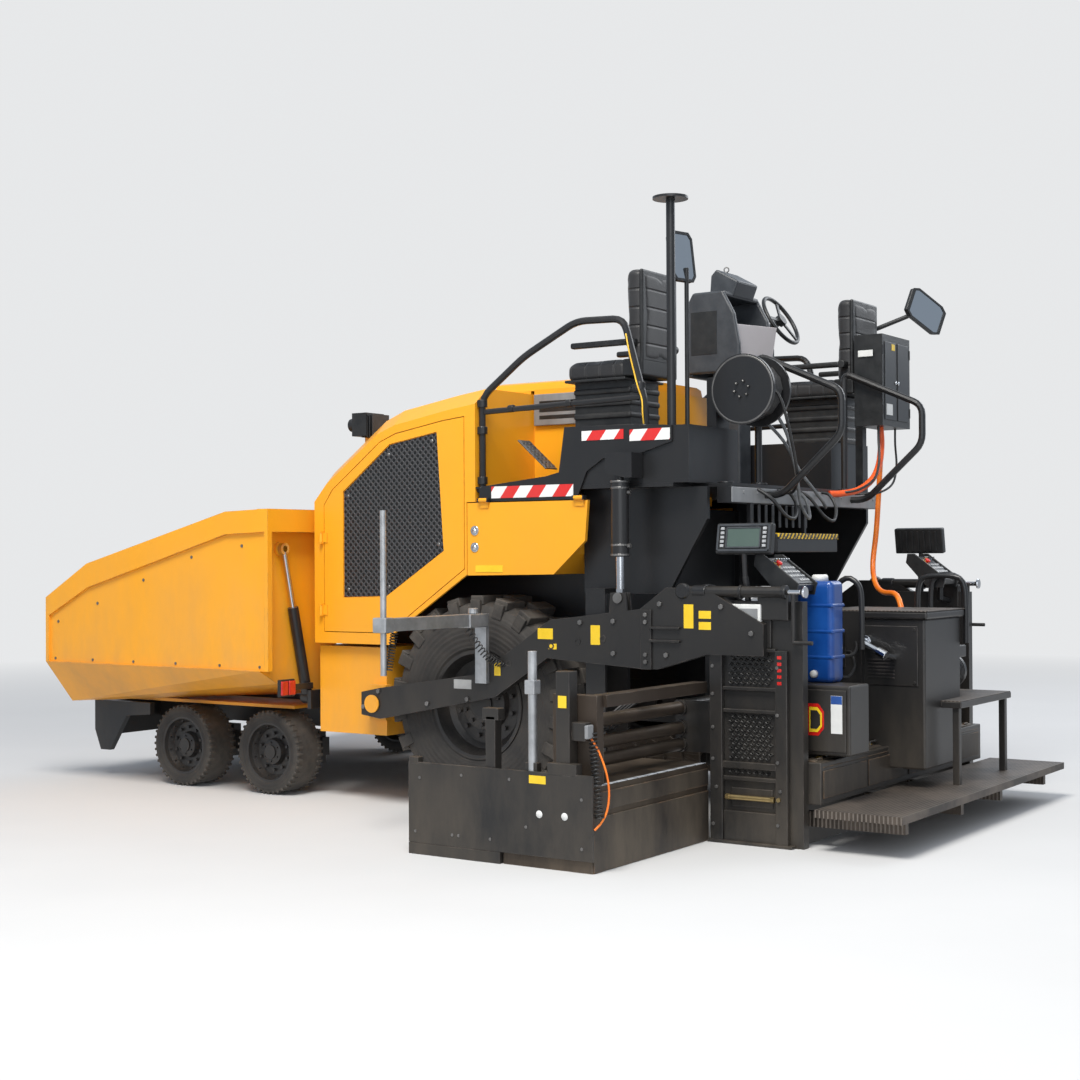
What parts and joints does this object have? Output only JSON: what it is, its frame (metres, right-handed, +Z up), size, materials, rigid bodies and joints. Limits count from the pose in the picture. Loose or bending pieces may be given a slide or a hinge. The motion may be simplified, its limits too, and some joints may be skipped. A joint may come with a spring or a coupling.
{
  "type": "wheeled asphalt paver",
  "caption": "Wheeled asphalt paver with an open folding hopper, bogie front wheels, large driven rear wheels, railed operators' deck and an extending screed.",
  "frame": {"origin": "on the ground, at the middle of the overall length and width", "axes": "+Z up, -Y towards the hopper and the front, +X towards the machine's left side"},
  "size_m": [4.918, 6.236, 3.554],
  "materials": {
    "frame_black": "satin",
    "screed_black": "worn satin",
    "screed_worn": "dusty worn",
    "body_yellow": "satin",
    "engine_grey": "satin",
    "worn_steel": "worn",
    "galvanised": "dull",
    "chrome": "polished",
    "warning_stripes": "satin",
    "seat_plastic": "matte",
    "seat_cover": "matte",
    "console_grey": "matte",
    "black_plastic": "matte",
    "tyre": "dusty"
  },
  "bodies": {
    "machine": {"main_frame": "frame_black", "side_panels": "body_yellow", "axles": "frame_black", "conveyor": "worn_steel", "push_beam": "frame_black", "hood_shell": "body_yellow", "engine_block": "engine_grey", "platform": "frame_black", "chevron_plates": "warning_stripes", "handrails": "frame_black", "seat_bases": "seat_plastic", "seats": "seat_cover", "console": "console_grey", "antenna_mast": "frame_black", "mirrors": "black_plastic", "electrical_box": "black_plastic", "hose_reel": "frame_black", "work_lights": "black_plastic"},
    "screed": {"tow_arms": "screed_black", "screed_frame": "screed_black", "screed_walkway": "worn_steel", "screed_controls": "console_grey", "grade_sensor_arms": "galvanised"},
    "extension_left": {"extension_left": "screed_worn", "end_gate_left": "screed_black"},
    "extension_right": {"extension_right": "screed_worn", "end_gate_right": "screed_black"},
    "steering_wheel": {"steering_wheel": "black_plastic"},
    "rear_wheel_left": {"rear_wheel_left": "tyre"},
    "rear_wheel_right": {"rear_wheel_right": "tyre"},
    "knuckle_1_left": {"knuckle_1_left": "frame_black"},
    "knuckle_1_right": {"knuckle_1_right": "frame_black"},
    "knuckle_2_left": {"knuckle_2_left": "frame_black"},
    "knuckle_2_right": {"knuckle_2_right": "frame_black"},
    "front_wheel_1_left": {"front_wheel_1_left": "tyre"},
    "front_wheel_1_right": {"front_wheel_1_right": "tyre"},
    "front_wheel_2_left": {"front_wheel_2_left": "tyre"},
    "front_wheel_2_right": {"front_wheel_2_right": "tyre"},
    "hopper_wing_left": {"hopper_wing_left": "body_yellow"},
    "hopper_wing_right": {"hopper_wing_right": "body_yellow"},
    "wing_cylinder_left": {"wing_cylinder_left": "frame_black"},
    "wing_cylinder_right": {"wing_cylinder_right": "frame_black"},
    "wing_rod_left": {"wing_rod_left": "chrome"},
    "wing_rod_right": {"wing_rod_right": "chrome"},
    "push_roller_left": {"push_roller_left": "worn_steel"},
    "push_roller_right": {"push_roller_right": "worn_steel"},
    "auger_left": {"auger_left": "worn_steel"},
    "auger_right": {"auger_right": "worn_steel"},
    "lift_cylinder_left": {"lift_cylinder_left": "frame_black"},
    "lift_cylinder_right": {"lift_cylinder_right": "frame_black"},
    "lift_rod_left": {"lift_rod_left": "chrome"},
    "lift_rod_right": {"lift_rod_right": "chrome"},
    "hood_lid": {"hood_lid": "body_yellow"},
    "grille_door_left": {"grille_door_left": "body_yellow"},
    "grille_door_right": {"grille_door_right": "body_yellow"},
    "service_door_left": {"service_door_left": "body_yellow"},
    "service_door_right": {"service_door_right": "body_yellow"}
  },
  "joints": [
    {"name": "rear_wheel_left_spin", "type": "hinge", "parent": "machine", "child": "rear_wheel_left", "pos_m": [1.006, 0.38, 0.657], "axis": [1, 0, 0], "continuous": true},
    {"name": "rear_wheel_right_spin", "type": "hinge", "parent": "machine", "child": "rear_wheel_right", "pos_m": [-1.006, 0.38, 0.657], "axis": [1, 0, 0], "continuous": true},
    {"name": "steer_1_left", "type": "hinge", "parent": "machine", "child": "knuckle_1_left", "pos_m": [0.93, -2.067, 0.274], "axis": [0, 0, 1], "range_deg": [-15, 15]},
    {"name": "front_wheel_1_left_spin", "type": "hinge", "parent": "knuckle_1_left", "child": "front_wheel_1_left", "pos_m": [1.138, -2.067, 0.274], "axis": [1, 0, 0], "continuous": true},
    {"name": "steer_1_right", "type": "hinge", "parent": "machine", "child": "knuckle_1_right", "pos_m": [-0.93, -2.067, 0.274], "axis": [0, 0, 1], "range_deg": [-15, 15]},
    {"name": "front_wheel_1_right_spin", "type": "hinge", "parent": "knuckle_1_right", "child": "front_wheel_1_right", "pos_m": [-1.138, -2.067, 0.274], "axis": [1, 0, 0], "continuous": true},
    {"name": "steer_2_left", "type": "hinge", "parent": "machine", "child": "knuckle_2_left", "pos_m": [0.93, -1.279, 0.274], "axis": [0, 0, 1], "range_deg": [-15, 15]},
    {"name": "front_wheel_2_left_spin", "type": "hinge", "parent": "knuckle_2_left", "child": "front_wheel_2_left", "pos_m": [1.138, -1.279, 0.274], "axis": [1, 0, 0], "continuous": true},
    {"name": "steer_2_right", "type": "hinge", "parent": "machine", "child": "knuckle_2_right", "pos_m": [-0.93, -1.279, 0.274], "axis": [0, 0, 1], "range_deg": [-15, 15]},
    {"name": "front_wheel_2_right_spin", "type": "hinge", "parent": "knuckle_2_right", "child": "front_wheel_2_right", "pos_m": [-1.138, -1.279, 0.274], "axis": [1, 0, 0], "continuous": true},
    {"name": "steering_wheel_turn", "type": "hinge", "parent": "machine", "child": "steering_wheel", "pos_m": [-0.99, 1.33, 3.13], "axis": [0, 0.866, 0.5], "range_deg": [-360, 360]},
    {"name": "hopper_wing_left_fold", "type": "hinge", "parent": "machine", "child": "hopper_wing_left", "pos_m": [0.76, -2.01, 0.65], "axis": [0, -1, 0], "range_deg": [0, 50]},
    {"name": "wing_cylinder_left_swing", "type": "hinge", "parent": "machine", "child": "wing_cylinder_left", "pos_m": [1.18, -1, 0.64], "axis": [0, -1, 0], "range_deg": [0, 47.4]},
    {"name": "wing_rod_left_slide", "type": "slide", "parent": "wing_cylinder_left", "child": "wing_rod_left", "axis": [0.2234, 0, 0.9747], "range_m": [0, 0.3499]},
    {"name": "hopper_wing_right_fold", "type": "hinge", "parent": "machine", "child": "hopper_wing_right", "pos_m": [-0.76, -2.01, 0.65], "axis": [0, 1, 0], "range_deg": [0, 50]},
    {"name": "wing_cylinder_right_swing", "type": "hinge", "parent": "machine", "child": "wing_cylinder_right", "pos_m": [-1.18, -1, 0.64], "axis": [0, 1, 0], "range_deg": [0, 47.4]},
    {"name": "wing_rod_right_slide", "type": "slide", "parent": "wing_cylinder_right", "child": "wing_rod_right", "axis": [-0.2234, 0, 0.9747], "range_m": [0, 0.3499]},
    {"name": "push_roller_left_spin", "type": "hinge", "parent": "machine", "child": "push_roller_left", "pos_m": [0.34, -3.033, 0.43], "axis": [1, 0, 0], "continuous": true},
    {"name": "push_roller_right_spin", "type": "hinge", "parent": "machine", "child": "push_roller_right", "pos_m": [-0.34, -3.033, 0.43], "axis": [1, 0, 0], "continuous": true},
    {"name": "auger_left_spin", "type": "hinge", "parent": "machine", "child": "auger_left", "pos_m": [0.626, 1.24, 0.33], "axis": [1, 0, 0], "continuous": true},
    {"name": "auger_right_spin", "type": "hinge", "parent": "machine", "child": "auger_right", "pos_m": [-0.626, 1.24, 0.33], "axis": [1, 0, 0], "continuous": true},
    {"name": "screed_lift", "type": "hinge", "parent": "machine", "child": "screed", "pos_m": [0, -0.33, 0.64], "axis": [1, 0, 0], "range_deg": [0, 6]},
    {"name": "lift_cylinder_left_swing", "type": "hinge", "parent": "machine", "child": "lift_cylinder_left", "pos_m": [1.3, 1.45, 2.06], "axis": [1, 0, 0], "range_deg": [-8.5, 0]},
    {"name": "lift_rod_left_slide", "type": "slide", "parent": "lift_cylinder_left", "child": "lift_rod_left", "axis": [0, 0, 1], "range_m": [0, 0.1788]},
    {"name": "lift_cylinder_right_swing", "type": "hinge", "parent": "machine", "child": "lift_cylinder_right", "pos_m": [-1.3, 1.45, 2.06], "axis": [1, 0, 0], "range_deg": [-8.5, 0]},
    {"name": "lift_rod_right_slide", "type": "slide", "parent": "lift_cylinder_right", "child": "lift_rod_right", "axis": [0, 0, 1], "range_m": [0, 0.1788]},
    {"name": "extension_left_slide", "type": "slide", "parent": "screed", "child": "extension_left", "axis": [-1, 0, 0], "range_m": [0, 1]},
    {"name": "extension_right_slide", "type": "slide", "parent": "screed", "child": "extension_right", "axis": [1, 0, 0], "range_m": [0, 1]},
    {"name": "hood_lid_open", "type": "hinge", "parent": "machine", "child": "hood_lid", "pos_m": [0, 0.06, 2.6], "axis": [1, 0, 0], "range_deg": [0, 45]},
    {"name": "grille_door_left_open", "type": "hinge", "parent": "machine", "child": "grille_door_left", "pos_m": [1.254, -0.814, 1.5], "axis": [0, 0, -1], "range_deg": [0, 85]},
    {"name": "grille_door_right_open", "type": "hinge", "parent": "machine", "child": "grille_door_right", "pos_m": [-1.254, -0.814, 1.5], "axis": [0, 0, 1], "range_deg": [0, 85]},
    {"name": "service_door_left_open", "type": "hinge", "parent": "machine", "child": "service_door_left", "pos_m": [1.254, 0.8, 1.88], "axis": [0, -1, 0], "range_deg": [0, 75]},
    {"name": "service_door_right_open", "type": "hinge", "parent": "machine", "child": "service_door_right", "pos_m": [-1.254, 0.8, 1.88], "axis": [0, 1, 0], "range_deg": [0, 75]}
  ],
  "couplings": [
    {"joint": "steer_1_right", "follows": "steer_1_left", "ratio": 1},
    {"joint": "steer_2_left", "follows": "steer_1_left", "ratio": 1},
    {"joint": "steer_2_right", "follows": "steer_1_left", "ratio": 1},
    {"joint": "steering_wheel_turn", "follows": "steer_1_left", "ratio": 24},
    {"joint": "wing_cylinder_left_swing", "follows": "hopper_wing_left_fold", "ratio": 0.92891},
    {"joint": "wing_rod_left_slide", "follows": "hopper_wing_left_fold", "m_per_rad": 0.39868},
    {"joint": "wing_cylinder_right_swing", "follows": "hopper_wing_right_fold", "ratio": 0.92891},
    {"joint": "wing_rod_right_slide", "follows": "hopper_wing_right_fold", "m_per_rad": 0.39868},
    {"joint": "lift_cylinder_left_swing", "follows": "screed_lift", "ratio": -1.3335},
    {"joint": "lift_rod_left_slide", "follows": "screed_lift", "m_per_rad": 1.6884},
    {"joint": "lift_cylinder_right_swing", "follows": "screed_lift", "ratio": -1.3335},
    {"joint": "lift_rod_right_slide", "follows": "screed_lift", "m_per_rad": 1.6884}
  ]
}
